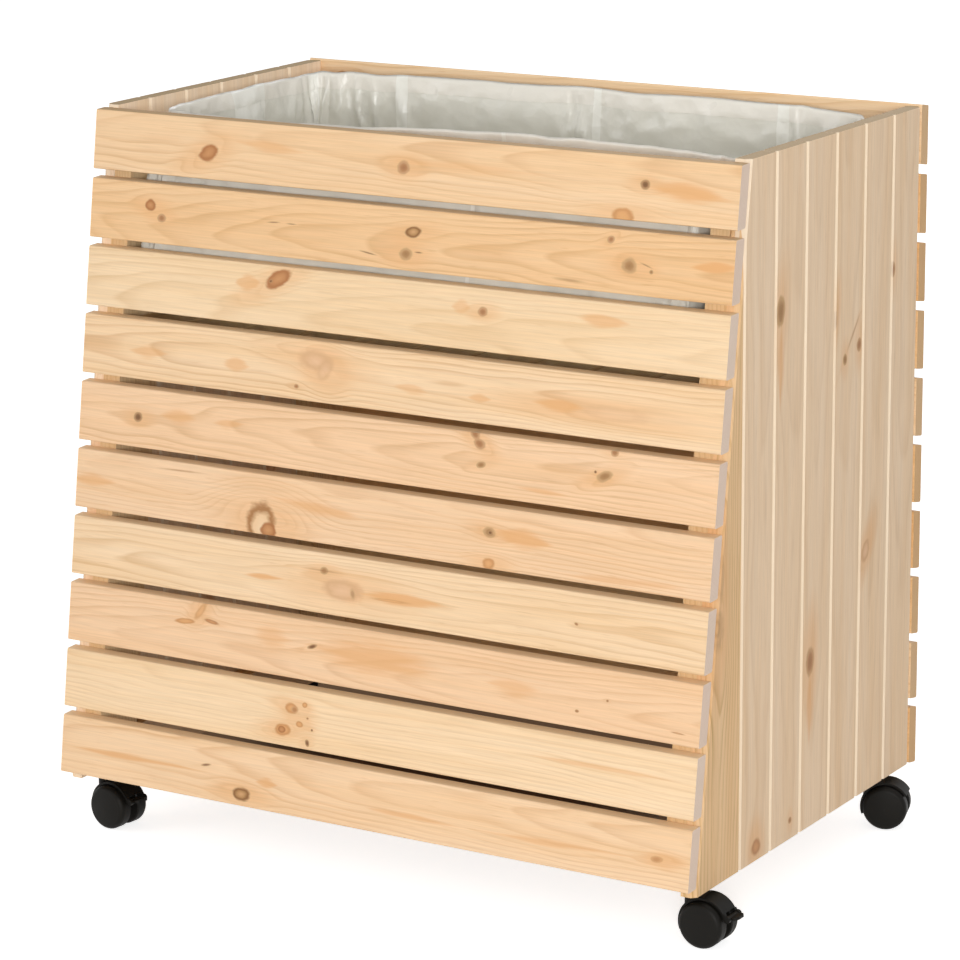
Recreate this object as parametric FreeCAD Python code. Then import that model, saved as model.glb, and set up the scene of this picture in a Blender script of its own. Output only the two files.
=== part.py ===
import FreeCAD, Part
import math
import os

from FreeCAD import Vector

# Raised garden bed on casters, in millimetres.
# X runs across the width, Y from front to back, Z up, and the floor is Z = 0.
# The origin is on the floor, below the middle of the bed.

# Overall sizes
BED_W = 800.0  # outside width, over the side panels
BED_DEPTH = 547.0  # foot of the front slats to the outer face of the back slats
PANEL_H = 750.0  # height of the side panels
LEAN_DEG = 8.2  # lean of the front, top set back

# Slats
SLAT_COUNT = 10  # on the front, and again on the back
SLAT_T = 17.0
SLAT_GAP = 9.6  # open gap between front slats, along the slope
SLAT_BEVEL_DEG = 10.0  # upper and lower faces of a slat, from square, rising inwards
SLAT_EDGE_R = 2.0
FOOT_REVEAL = 10.0  # lowest front slat above the underside of the panels
BACK_RISE = 2.5  # top back slat above the top of the panels
TOP_REVEAL = 3.5  # highest front slat below the top of the panels

# Side panels
BOARD_COUNT = 6  # full boards on each side, counted from the back
FRONT_BOARD_DROP = 66.0  # tip of the wedge-shaped front board below the top of the panels
BOARD_T = 17.0
BOARD_V = 3.0  # leg of the chamfers that form the V joints
TONGUE_T = 5.0
TONGUE_L = 6.0
TONGUE_CLEAR = 0.2
EDGE_CHAMFER = 5.5  # outer chamfer along the leaning edge and the back edge of a panel

# Posts, rails and floor
POST_W = 22.0
POST_D = 70.0
POST_DROP = 25.0  # top of the posts below the top of the panels
RAIL_H = 45.0
BEARER_T = 22.0
UPPER_RAIL_DROP = 60.0  # top of the upper side rails below the top of the panels
BACK_RAIL_RISE = 130.0  # underside of the back rail above the underside of the panels
POST_NOTCH_D = 24.0  # notch at the foot of a front post, which keeps it out of sight under the lowest slat
POST_NOTCH_H = 14.0
FLOOR_DROP = 235.0  # top of the floor below the top of the panels
FLOOR_T = 17.0
FLOOR_COUNT = 10
FLOOR_GAP = 9.0
FLOOR_END_CLEAR = 2.0

# Liner
LINER_DROP = 5.0  # rim of the liner below the top of the panels
LINER_WALL = 1.2
LINER_CLEAR = 0.3
LINER_FRONT_GAP = 20.0
LINER_BACK_GAP = 20.0
LINER_CORNER_R = 70.0

# Nails
NAIL_L = 36.0
NAIL_D = 2.0
NAIL_HEAD_D = 3.2
NAIL_HEAD_T = 1.0
NAIL_SET = 1.0  # heads below the surface, the holes filled
NAIL_SPREAD = 20.0  # between the two nails at each end of a slat
NAIL_LOW = 6.0  # middle of the two nails below the middle of the slat

# Casters
WHEEL_D = 50.0
WHEEL_W = 18.0
WHEEL_EDGE_R = 6.0
WHEEL_DOME = 1.6
WHEEL_LIP = 1.2  # small chamfer at the inner rim of the tread
WHEEL_SIDE_GAP = 0.8
WEB_T = 10.0  # middle wall of the hood, between the wheels
HUB_D = 20.0
AXLE_D = 6.0
AXLE_GRIP = 13.0  # length of axle in each wheel
AXLE_END_CLEAR = 0.6
RUN_CLEAR = 0.05  # radial clearance of what turns on a pin
TRAIL = 20.0  # stem axis to wheel axis
FENDER_GAP = 1.0
FENDER_T = 2.5
FENDER_W = 27.0
CASTER_HEAD = 6.5  # top of the fender to the underside of the bed
FENDER_START_DEG = 32.0  # from the trailing side, over the top
FENDER_END_DEG = 200.0
NECK_D = 14.0
SWIVEL_GAP = 0.3
STEM_D = 8.0
STEM_IN_WOOD = 35.0
STEM_IN_HOOD = 22.0
STEM_TIP_CLEAR = 1.0
STEM_WALL_SIDE = 2.0  # wood between the stem and the side panel
STEM_WALL_BACK = 12.0  # wood between a back stem and the inner face of its post

# Brake levers on the front casters
LEVER_REACH = 58.5  # stem axis to the tip of the lever
LEVER_PIVOT_DEG = 19.0  # place of the pivot round the wheel axis
LEVER_RISE_DEG = 8.0
LEVER_T = 3.0
LEVER_TIP_R = 5.0
LEVER_BARREL_D = 6.0
LEVER_PIN_D = 3.0
LEVER_SIDE_GAP = 0.3
EAR_T = 4.2
EAR_WALL = 2.3

# Turn of each caster about its stem, as it stands
CASTER_TURNS = {"front_left": -6.0, "front_right": 0.0, "back_right": 17.0, "back_left": 200.0}
BRAKED = ("front_left", "front_right")

# Derived places
LEAN = math.radians(LEAN_DEG)
CASTER_H = WHEEL_D + FENDER_GAP + FENDER_T + CASTER_HEAD  # floor to the underside of the bed
HALF_W = BED_W / 2
INNER_X = HALF_W - BOARD_T
POST_X = INNER_X - POST_W
FRONT_Y = -BED_DEPTH / 2
BACK_Y = BED_DEPTH / 2
BACK_INNER_Y = BACK_Y - SLAT_T
FOOT_Z = CASTER_H + FOOT_REVEAL
RIM_Z = CASTER_H + PANEL_H
POST_TOP_Z = RIM_Z - POST_DROP
FLOOR_Z = RIM_Z - FLOOR_DROP
SLOPE_L = (PANEL_H - FOOT_REVEAL - TOP_REVEAL) / math.cos(LEAN)
SLAT_FACE = (SLOPE_L - (SLAT_COUNT - 1) * SLAT_GAP) / SLAT_COUNT
BACK_GAP = (PANEL_H + BACK_RISE - SLAT_COUNT * SLAT_FACE) / (SLAT_COUNT - 1)
WHEEL_R = WHEEL_D / 2
FENDER_R = WHEEL_R + FENDER_GAP + FENDER_T
WHEEL_IN_Y = WEB_T / 2 + WHEEL_SIDE_GAP
X_AXIS = Vector(1, 0, 0)
Y_AXIS = Vector(0, 1, 0)
Z_AXIS = Vector(0, 0, 1)


def front_point(x, up, inward):
    """Point on the leaning front: distance up the slope from the foot, and depth behind the face."""
    y = FRONT_Y + up * math.sin(LEAN) + inward * math.cos(LEAN)
    z = FOOT_Z + up * math.cos(LEAN) - inward * math.sin(LEAN)
    return Vector(x, y, z)


def behind_front_y(z, depth=0.0):
    """Y of the back of the front slats at a height, plus a level depth behind it."""
    return FRONT_Y + (z - FOOT_Z) * math.tan(LEAN) + SLAT_T / math.cos(LEAN) + depth


def prism(points, along):
    """Solid swept along a vector from a flat outline of points."""
    return Part.Face(Part.makePolygon(points + points[:1])).extrude(along)


def box(low, high):
    """Box between two corners."""
    size = high - low
    return Part.makeBox(size.x, size.y, size.z, low)


def round_long_edges(solid, radius):
    """Round the edges that run the whole width of the bed."""
    edges = [e for e in solid.Edges if abs(e.Length - BED_W) < 0.01]
    return solid.makeFillet(radius, edges)


def front_slat(index):
    """One leaning slat, counted from the top; its upper and lower faces rise inwards."""
    low = (SLAT_COUNT - 1 - index) * (SLAT_FACE + SLAT_GAP)
    rise = SLAT_T * math.tan(math.radians(SLAT_BEVEL_DEG))
    corners = [
        front_point(-HALF_W, low, 0),
        front_point(-HALF_W, low + SLAT_FACE, 0),
        front_point(-HALF_W, low + SLAT_FACE + rise, SLAT_T),
        front_point(-HALF_W, low + rise, SLAT_T),
    ]
    return round_long_edges(prism(corners, X_AXIS * BED_W), SLAT_EDGE_R)


def back_slat(index):
    """One upright slat at the back, counted from the top."""
    top = RIM_Z + BACK_RISE - index * (SLAT_FACE + BACK_GAP)
    fall = SLAT_T * math.tan(math.radians(SLAT_BEVEL_DEG))
    corners = [
        Vector(-HALF_W, BACK_INNER_Y, top),
        Vector(-HALF_W, BACK_Y, top - fall),
        Vector(-HALF_W, BACK_Y, top - fall - SLAT_FACE),
        Vector(-HALF_W, BACK_INNER_Y, top - SLAT_FACE),
    ]
    return round_long_edges(prism(corners, X_AXIS * BED_W), SLAT_EDGE_R)


def front_half_space(depth):
    """Everything behind the plane that lies a level depth behind the front slats."""
    reach = BED_DEPTH * 2
    low_z = CASTER_H - PANEL_H
    high_z = RIM_Z + PANEL_H
    outline = [
        Vector(-BED_W, behind_front_y(low_z, depth), low_z),
        Vector(-BED_W, reach, low_z),
        Vector(-BED_W, reach, high_z),
        Vector(-BED_W, behind_front_y(high_z, depth), high_z),
    ]
    return prism(outline, X_AXIS * BED_W * 2)


def joint_y(number):
    """Y of a joint between side boards, counted from the back of the wedge-shaped front board."""
    first = behind_front_y(CASTER_H) + (PANEL_H - FRONT_BOARD_DROP) * math.tan(LEAN)
    return first + (BACK_INNER_Y - first) * number / BOARD_COUNT


def board_outline(front_y, back_y, has_tongue, has_groove):
    """Plan of a right-hand side board: tongue to the front, groove to the back."""
    out_x = HALF_W
    in_x = INNER_X
    mid_x = (out_x + in_x) / 2
    tongue = TONGUE_T / 2
    groove = tongue + TONGUE_CLEAR
    groove_y = back_y - TONGUE_L - TONGUE_CLEAR
    v = BOARD_V
    outer_v = BOARD_V if has_groove else EDGE_CHAMFER
    points = [Vector(in_x, back_y - v), Vector(in_x + v, back_y)]
    if has_groove:
        points += [Vector(mid_x - groove, back_y), Vector(mid_x - groove, groove_y)]
        points += [Vector(mid_x + groove, groove_y), Vector(mid_x + groove, back_y)]
    points += [Vector(out_x - outer_v, back_y), Vector(out_x, back_y - outer_v)]
    if has_tongue:
        points += [Vector(out_x, front_y + v), Vector(out_x - v, front_y)]
        points += [Vector(mid_x + tongue, front_y), Vector(mid_x + tongue, front_y - TONGUE_L)]
        points += [Vector(mid_x - tongue, front_y - TONGUE_L), Vector(mid_x - tongue, front_y)]
        points += [Vector(in_x + v, front_y), Vector(in_x, front_y + v)]
    else:
        points += [Vector(out_x, front_y), Vector(in_x, front_y)]
    return points


def lean_chamfer():
    """Wedge that bevels the outer corner along the leaning edge of the right-hand panel."""
    low_z = CASTER_H - EDGE_CHAMFER
    rise = PANEL_H + 2 * EDGE_CHAMFER
    front_y = behind_front_y(low_z)
    corner = [
        Vector(HALF_W + EDGE_CHAMFER, front_y - EDGE_CHAMFER, low_z),
        Vector(HALF_W + EDGE_CHAMFER, front_y + 2 * EDGE_CHAMFER, low_z),
        Vector(HALF_W - 2 * EDGE_CHAMFER, front_y - EDGE_CHAMFER, low_z),
    ]
    return prism(corner, Vector(0, rise * math.tan(LEAN), rise))


def side_boards():
    """The boards of the right-hand panel, from the front board to the back."""
    behind_front = front_half_space(0)
    chamfer = lean_chamfer()
    outlines = [board_outline(behind_front_y(CASTER_H), joint_y(0), False, True)]
    for number in range(BOARD_COUNT):
        last = number == BOARD_COUNT - 1
        outlines.append(board_outline(joint_y(number), joint_y(number + 1), True, not last))
    boards = []
    for outline in outlines:
        foot = [Vector(p.x, p.y, CASTER_H) for p in outline]
        board = prism(foot, Z_AXIS * PANEL_H).common(behind_front).cut(chamfer)
        boards.append(board.Solids[0])
    return boards


def mirrored(shape):
    """The same piece on the left-hand side."""
    return shape.mirror(Vector(0, 0, 0), X_AXIS)


def stem_place(name):
    """X and Y of a caster's stem, set by the post that holds it."""
    x = INNER_X - STEM_WALL_SIDE - STEM_D / 2
    y = behind_front_y(CASTER_H, POST_D / 2)
    if name.startswith("back"):
        y = BACK_INNER_Y - POST_D + STEM_WALL_BACK + STEM_D / 2
    return Vector(-x if name.endswith("left") else x, y, 0)


def post(name):
    """A corner post with the socket for its caster's stem."""
    if name.startswith("front"):
        front_low = behind_front_y(CASTER_H)
        front_high = behind_front_y(POST_TOP_Z)
        outline = [(front_low, CASTER_H), (front_low + POST_D, CASTER_H)]
        outline += [(front_high + POST_D, POST_TOP_Z), (front_high, POST_TOP_Z)]
    else:
        front = BACK_INNER_Y - POST_D
        outline = [(front, CASTER_H), (BACK_INNER_Y, CASTER_H)]
        outline += [(BACK_INNER_Y, POST_TOP_Z), (front, POST_TOP_Z)]
    solid = prism([Vector(POST_X, y, z) for y, z in outline], X_AXIS * POST_W)
    if name.startswith("front"):
        low = Vector(POST_X - POST_W, front_low - POST_D, CASTER_H - POST_NOTCH_H)
        solid = solid.cut(box(low, Vector(INNER_X + POST_W, front_low + POST_NOTCH_D, CASTER_H + POST_NOTCH_H)))
    if name.endswith("left"):
        solid = mirrored(solid)
    depth = STEM_IN_WOOD + STEM_TIP_CLEAR
    socket = Part.makeCylinder(STEM_D / 2 + RUN_CLEAR, depth, stem_place(name) + Z_AXIS * CASTER_H)
    return solid.cut(socket)


def side_rail(top_z):
    """A rail on the right-hand panel between its two posts."""
    low_z = top_z - RAIL_H
    back = BACK_INNER_Y - POST_D
    outline = [
        Vector(POST_X, behind_front_y(low_z, POST_D), low_z),
        Vector(POST_X, back, low_z),
        Vector(POST_X, back, top_z),
        Vector(POST_X, behind_front_y(top_z, POST_D), top_z),
    ]
    return prism(outline, X_AXIS * POST_W)


def inner_rails():
    """Two rails on each side panel, two bearers under the floor and one rail across the back."""
    rails = []
    for top_z in (CASTER_H + RAIL_H, RIM_Z - UPPER_RAIL_DROP):
        rail = side_rail(top_z)
        rails += [rail, mirrored(rail)]
    top_z = FLOOR_Z - FLOOR_T
    low_z = top_z - RAIL_H
    front = [
        Vector(-INNER_X, behind_front_y(low_z, POST_D), low_z),
        Vector(-INNER_X, behind_front_y(low_z, POST_D + BEARER_T), low_z),
        Vector(-INNER_X, behind_front_y(top_z, POST_D + BEARER_T), top_z),
        Vector(-INNER_X, behind_front_y(top_z, POST_D), top_z),
    ]
    rails.append(prism(front, X_AXIS * INNER_X * 2))
    back_y = BACK_INNER_Y - POST_D
    rails.append(box(Vector(-INNER_X, back_y - BEARER_T, low_z), Vector(INNER_X, back_y, top_z)))
    low_z = CASTER_H + BACK_RAIL_RISE
    low = Vector(-POST_X, BACK_INNER_Y - BEARER_T, low_z)
    rails.append(box(low, Vector(POST_X, BACK_INNER_Y, low_z + RAIL_H)))
    return Part.makeCompound(rails)


def floor_boards():
    """Boards from front to back on the bearers, with gaps that drain."""
    clear_w = 2 * POST_X - 2 * FLOOR_END_CLEAR
    width = (clear_w - (FLOOR_COUNT - 1) * FLOOR_GAP) / FLOOR_COUNT
    front = behind_front_y(FLOOR_Z, FLOOR_END_CLEAR)
    boards = []
    for number in range(FLOOR_COUNT):
        low_x = -clear_w / 2 + number * (width + FLOOR_GAP)
        low = Vector(low_x, front, FLOOR_Z - FLOOR_T)
        high = Vector(low_x + width, BACK_INNER_Y - FLOOR_END_CLEAR, FLOOR_Z)
        boards.append(box(low, high))
    return Part.makeCompound(boards)


def liner_wire(z, inset):
    """Plan of the liner at a height: a rectangle with round corners."""
    x = POST_X - LINER_CLEAR - inset
    front = behind_front_y(z, LINER_FRONT_GAP) + inset
    back = BACK_INNER_Y - LINER_BACK_GAP - inset
    r = LINER_CORNER_R - inset
    slant = r * (1 - math.sqrt(0.5))
    edges = []
    corners = [(x, back, 1, 1), (-x, back, -1, 1), (-x, front, -1, -1), (x, front, 1, -1)]
    ends = []
    for cx, cy, sx, sy in corners:
        beside = Vector(cx, cy - sy * r, z)
        along = Vector(cx - sx * r, cy, z)
        first, last = (beside, along) if sx == sy else (along, beside)
        middle = Vector(cx - sx * slant, cy - sy * slant, z)
        ends.append((first, middle, last))
    for place, (first, middle, last) in enumerate(ends):
        edges.append(Part.Arc(first, middle, last).toShape())
        edges.append(Part.LineSegment(last, ends[(place + 1) % len(ends)][0]).toShape())
    return Part.Wire(edges)


def liner():
    """Open-topped bag that stands on the floor boards, inside the posts."""
    low_z = FLOOR_Z + LINER_CLEAR
    high_z = RIM_Z - LINER_DROP
    inner_z = low_z + LINER_WALL
    over_z = high_z + LINER_WALL
    outer = Part.makeLoft([liner_wire(low_z, 0), liner_wire(high_z, 0)], True, True)
    inner = Part.makeLoft([liner_wire(inner_z, LINER_WALL), liner_wire(over_z, LINER_WALL)], True, True)
    return outer.cut(inner).Solids[0]


def nail(surface, along):
    """One nail whose head is set below the surface at a point."""
    top = surface + along * NAIL_SET
    shank = Part.makeCylinder(NAIL_D / 2, NAIL_L, top, along)
    cap = Part.makeCylinder(NAIL_HEAD_D / 2, NAIL_HEAD_T, top, along)
    return shank.fuse(cap).removeSplitter()


def slat_nails():
    """Two nails at each end of every slat, into the posts."""
    inward = Vector(0, math.cos(LEAN), -math.sin(LEAN))
    fall = SLAT_T * math.tan(math.radians(SLAT_BEVEL_DEG))
    nails = []
    for x in (-POST_X - POST_W / 2, POST_X + POST_W / 2):
        for index in range(SLAT_COUNT):
            middle = (index + 0.5) * SLAT_FACE
            for half in (-0.5, 0.5):
                shift = half * NAIL_SPREAD - NAIL_LOW
                nails.append(nail(front_point(x, middle + index * SLAT_GAP + shift, 0), inward))
                z = RIM_Z + BACK_RISE - fall - middle - index * BACK_GAP + shift
                nails.append(nail(Vector(x, BACK_Y, z), -Y_AXIS))
    return nails


def board_nails():
    """Nails from inside, through rail or post, into each side board."""
    rail_z = CASTER_H + RAIL_H / 2
    over_stem_z = CASTER_H + STEM_IN_WOOD + RAIL_H
    high_z = RIM_Z - UPPER_RAIL_DROP - RAIL_H / 2
    places = [(behind_front_y(over_stem_z, POST_D / 2), over_stem_z)]
    for number in range(BOARD_COUNT):
        y = joint_y(number + 0.5)
        on_post = y > BACK_INNER_Y - POST_D
        places += [(y, over_stem_z if on_post else rail_z), (y, high_z)]
    nails = []
    for y, z in places:
        nails.append(nail(Vector(POST_X, y, z), X_AXIS))
        nails.append(nail(Vector(-POST_X, y, z), -X_AXIS))
    return nails


def axle_cylinder(radius, half_length):
    """Cylinder on the wheel axis, centred between the wheels."""
    return Part.makeCylinder(radius, 2 * half_length, Vector(TRAIL, -half_length, WHEEL_R), Y_AXIS)


def wheel_sector(radius, half_width, start_deg, end_deg):
    """Sector of a cylinder on the wheel axis, angles from the trailing side over the top."""
    sector = Part.makeCylinder(radius, 2 * half_width, Vector(0, 0, 0), Z_AXIS, end_deg - start_deg)
    sector.rotate(Vector(0, 0, 0), Z_AXIS, start_deg)
    sector.rotate(Vector(0, 0, 0), X_AXIS, 90)
    sector.translate(Vector(TRAIL, half_width, WHEEL_R))
    return sector


def lever_pivot():
    """Point on the lever's pivot axis, between its two ears."""
    radius = WHEEL_R + FENDER_GAP + LEVER_PIN_D / 2 + EAR_WALL
    angle = math.radians(LEVER_PIVOT_DEG)
    return Vector(TRAIL + radius * math.cos(angle), 0, WHEEL_R + radius * math.sin(angle))


def lever_ears():
    """Two ears at the trailing end of the fender, with holes for the lever's pins."""
    reach = lever_pivot() - Vector(TRAIL, 0, WHEEL_R)
    width = Y_AXIS * FENDER_W
    low = lever_pivot() - width * 0.5
    arm = wheel_sector(reach.Length, FENDER_W / 2, LEVER_PIVOT_DEG, FENDER_START_DEG)
    eye = Part.makeCylinder(LEVER_PIN_D / 2 + EAR_WALL, FENDER_W, low, Y_AXIS)
    hole = Part.makeCylinder(LEVER_PIN_D / 2 + RUN_CLEAR, FENDER_W, low, Y_AXIS)
    room_y = FENDER_W / 2 - EAR_T
    size = 2 * FENDER_R
    room = Part.makeBox(size, 2 * room_y, size, Vector(TRAIL, -room_y, 0))
    return arm.fuse(eye).cut(hole).cut(room)


def hood(braked):
    """Hood over the two wheels: a middle wall, a fender, a neck and, with a brake, two ears."""
    fender = wheel_sector(FENDER_R, FENDER_W / 2, FENDER_START_DEG, FENDER_END_DEG)
    neck_top = CASTER_H - SWIVEL_GAP
    neck = Part.makeCylinder(NECK_D / 2, neck_top - WHEEL_R, Z_AXIS * WHEEL_R)
    shell = fender.fuse(neck)
    if braked:
        shell = shell.fuse(lever_ears())
    for side in (-1, 1):
        well = Part.makeCylinder(
            WHEEL_R + FENDER_GAP, FENDER_W, Vector(TRAIL, side * WEB_T / 2, WHEEL_R), Y_AXIS * side
        )
        shell = shell.cut(well)
    shell = shell.fuse(axle_cylinder(HUB_D / 2, WEB_T / 2))
    shell = shell.cut(axle_cylinder(AXLE_D / 2, WEB_T))
    stem = Part.makeCylinder(STEM_D / 2, CASTER_H, Z_AXIS * (CASTER_H - STEM_IN_HOOD))
    return shell.cut(stem).removeSplitter().Solids[0]


def caster_pins():
    """The axle and the stem, both pressed into the hood."""
    axle = axle_cylinder(AXLE_D / 2, WHEEL_IN_Y + AXLE_GRIP)
    low = CASTER_H - STEM_IN_HOOD
    stem = Part.makeCylinder(STEM_D / 2, STEM_IN_HOOD + STEM_IN_WOOD, Z_AXIS * low)
    return Part.makeCompound([axle, stem])


def wheel(side):
    """One wheel with a domed outer face and a blind bore; side is -1 for the front one, +1 for the back."""
    inner = WHEEL_IN_Y
    bore_r = AXLE_D / 2 + RUN_CLEAR
    bore_end = inner + AXLE_GRIP + AXLE_END_CLEAR
    outer = inner + WHEEL_W - WHEEL_DOME
    turn_y = outer - WHEEL_EDGE_R
    turn_r = WHEEL_R - WHEEL_EDGE_R
    arc = WHEEL_EDGE_R * math.sqrt(0.5)
    dome_r = (turn_r ** 2 + WHEEL_DOME ** 2) / (2 * WHEEL_DOME)
    half_turn = math.asin(turn_r / dome_r) / 2
    tip = Vector(0, outer + WHEEL_DOME, 0)
    dome_mid = tip + Vector(0, dome_r * (math.cos(half_turn) - 1), dome_r * math.sin(half_turn))
    lines = [
        (Vector(0, bore_end, 0), Vector(0, bore_end, bore_r)),
        (Vector(0, bore_end, bore_r), Vector(0, inner, bore_r)),
        (Vector(0, inner, bore_r), Vector(0, inner, WHEEL_R - WHEEL_LIP)),
        (Vector(0, inner, WHEEL_R - WHEEL_LIP), Vector(0, inner + WHEEL_LIP, WHEEL_R)),
        (Vector(0, inner + WHEEL_LIP, WHEEL_R), Vector(0, turn_y, WHEEL_R)),
    ]
    edges = [Part.LineSegment(a, b).toShape() for a, b in lines]
    shoulder = Vector(0, turn_y + arc, turn_r + arc)
    edges.append(Part.Arc(Vector(0, turn_y, WHEEL_R), shoulder, Vector(0, outer, turn_r)).toShape())
    edges.append(Part.Arc(Vector(0, outer, turn_r), dome_mid, tip).toShape())
    edges.append(Part.LineSegment(tip, Vector(0, bore_end, 0)).toShape())
    solid = Part.Face(Part.Wire(edges)).revolve(Vector(0, 0, 0), Y_AXIS, 360)
    if side < 0:
        solid = solid.mirror(Vector(0, 0, 0), Y_AXIS)
    solid.translate(Vector(TRAIL, 0, WHEEL_R))
    return solid


def brake_lever():
    """A tab on a barrel, whose two pins turn in the hood's ears."""
    pivot = lever_pivot()
    half = FENDER_W / 2 - EAR_T - LEVER_SIDE_GAP
    length = (LEVER_REACH - pivot.x) / math.cos(math.radians(LEVER_RISE_DEG))
    barrel = Part.makeCylinder(LEVER_BARREL_D / 2, 2 * half, Vector(0, -half, 0), Y_AXIS)
    pin = Part.makeCylinder(LEVER_PIN_D / 2, FENDER_W, Vector(0, -FENDER_W / 2, 0), Y_AXIS)
    tab = Part.makeBox(length, 2 * half, LEVER_T, Vector(0, -half, -LEVER_T / 2))
    tip_edges = [e for e in tab.Edges if e.BoundBox.XMin > length / 2 and e.BoundBox.YLength < 0.01]
    tab = tab.makeFillet(min(LEVER_TIP_R, half * 0.9, length * 0.9), tip_edges)
    lever = barrel.fuse(pin).fuse(tab).removeSplitter()
    lever.rotate(Vector(0, 0, 0), Y_AXIS, -LEVER_RISE_DEG)
    lever.translate(pivot)
    return lever.Solids[0]


def placed(shape, name):
    """A caster piece, turned and moved to its stem."""
    copy = shape.copy()
    copy.rotate(Vector(0, 0, 0), Z_AXIS, CASTER_TURNS[name])
    copy.translate(stem_place(name))
    return copy


def wooden_nodes():
    """Slats, boards, posts, rails and floor by node name."""
    nodes = {}
    for index in range(SLAT_COUNT):
        nodes[f"front_slat_{index + 1:02d}"] = front_slat(index)
        nodes[f"back_slat_{index + 1:02d}"] = back_slat(index)
    for number, board in enumerate(side_boards(), start=1):
        nodes[f"right_board_{number}"] = board
        nodes[f"left_board_{number}"] = mirrored(board)
    for name in CASTER_TURNS:
        nodes[f"{name}_post"] = post(name)
    nodes["inner_rails"] = inner_rails()
    nodes["floor_boards"] = floor_boards()
    return nodes


def caster_nodes():
    """The pieces of the four casters by node name."""
    nodes = {}
    for name in CASTER_TURNS:
        nodes[f"{name}_hood"] = placed(hood(name in BRAKED), name)
        nodes[f"{name}_pins"] = placed(caster_pins(), name)
        nodes[f"{name}_wheel_a"] = placed(wheel(-1), name)
        nodes[f"{name}_wheel_b"] = placed(wheel(1), name)
        if name in BRAKED:
            nodes[f"{name}_brake_lever"] = placed(brake_lever(), name)
    return nodes


def main():
    """Build every node and write one file for each."""
    os.makedirs("parts", exist_ok=True)
    nodes = wooden_nodes()
    nodes["liner"] = liner()
    nodes["nails"] = Part.makeCompound(slat_nails() + board_nails())
    nodes.update(caster_nodes())
    for name, shape in nodes.items():
        shape.exportStep(f"parts/{name}.step")


main()
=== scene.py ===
import logging
import math
import random
from dataclasses import dataclass, replace
from enum import Enum
from functools import partial
from typing import Any, Callable

import bmesh
import bpy
from mathutils import Matrix, Vector, noise


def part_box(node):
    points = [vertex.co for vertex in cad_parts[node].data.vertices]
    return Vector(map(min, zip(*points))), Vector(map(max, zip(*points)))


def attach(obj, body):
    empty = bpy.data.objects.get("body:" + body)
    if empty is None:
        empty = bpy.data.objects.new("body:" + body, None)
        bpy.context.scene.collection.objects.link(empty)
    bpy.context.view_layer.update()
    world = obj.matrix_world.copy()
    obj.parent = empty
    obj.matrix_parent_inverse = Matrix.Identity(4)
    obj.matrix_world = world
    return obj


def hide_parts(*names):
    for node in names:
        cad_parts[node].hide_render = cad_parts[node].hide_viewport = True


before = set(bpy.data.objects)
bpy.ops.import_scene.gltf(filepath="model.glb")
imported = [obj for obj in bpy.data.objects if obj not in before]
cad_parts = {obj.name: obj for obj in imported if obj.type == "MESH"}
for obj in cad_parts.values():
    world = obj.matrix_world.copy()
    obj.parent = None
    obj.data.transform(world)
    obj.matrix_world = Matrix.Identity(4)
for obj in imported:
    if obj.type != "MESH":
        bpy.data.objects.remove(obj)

LOG = logging.getLogger("garden_bed")
MM = 0.001
RIGHT, BACK, UP = (1.0, 0.0, 0.0), (0.0, 1.0, 0.0), (0.0, 0.0, 1.0)
LEAN_DEG = 8.2  # lean of the front slats
SLAT_FOOT_Z = 0.070  # height of their lowest edge
Point = tuple[float, float, float]
Pairs = tuple[tuple[float, float], ...]
Socket = bpy.types.NodeSocket
Outputs = bpy.types.NodeOutputs
Add = Callable[..., Outputs]


def linear(code: str) -> tuple[float, float, float, float]:
    """Turn an sRGB hex colour into linear light.

    Args:
        code: Colour as six hex digits after a hash.

    Returns:
        Red, green, blue and a full alpha.
    """
    parts = [int(code[i:i + 2], 16) / 255 for i in (1, 3, 5)]
    low_high = [c / 12.92 if c <= 0.04045 else ((c + 0.055) / 1.055) ** 2.4 for c in parts]
    return (*low_high, 1.0)


def add_node(tree: bpy.types.NodeTree, kind: str,
             inputs: dict[Any, Any] | list[Any] | None = None, **settings: Any) -> Outputs:
    """Add a node with its settings, values and links.

    Args:
        tree: Node tree that gets the node.
        kind: Blender's name of the shader node, without its prefix.
        inputs: Values of the inputs, or sockets that are linked to them, by name or number, or
            as a list from the first input on.
        settings: Properties of the node.

    Returns:
        The outputs of the new node.
    """
    node = tree.nodes.new(f"ShaderNode{kind}")
    for name, value in settings.items():
        setattr(node, name, value)
    pairs = inputs.items() if isinstance(inputs, dict) else enumerate(inputs or [])
    for key, value in pairs:
        if isinstance(value, Socket):
            tree.links.new(value, node.inputs[key])
        else:
            node.inputs[key].default_value = value
    return node.outputs


def fill_ramp(ramp: bpy.types.ColorRamp, stops: list[tuple[float, tuple[float, ...]]]) -> None:
    """Give a colour ramp its stops.

    Args:
        ramp: The colour ramp.
        stops: Place and linear colour of each stop, in order.
    """
    while len(ramp.elements) < len(stops):
        ramp.elements.new(1.0)
    for element, (place, colour) in zip(ramp.elements, stops):
        element.position = place
        element.color = colour


def new_material(name: str) -> tuple[bpy.types.Material, Add]:
    """Make an empty node material.

    Args:
        name: Name of the material.

    Returns:
        The material and the function that adds its nodes.
    """
    material = bpy.data.materials.new(name)
    material.use_nodes = True
    material.node_tree.nodes.clear()
    return material, partial(add_node, material.node_tree)


def finish_shader(add: Add, inputs: dict[str, Any]) -> None:
    """Close a material with a Principled shader, with these inputs, and its output."""
    shader = add("BsdfPrincipled", inputs)
    add("OutputMaterial", {"Surface": shader["BSDF"]})


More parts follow.
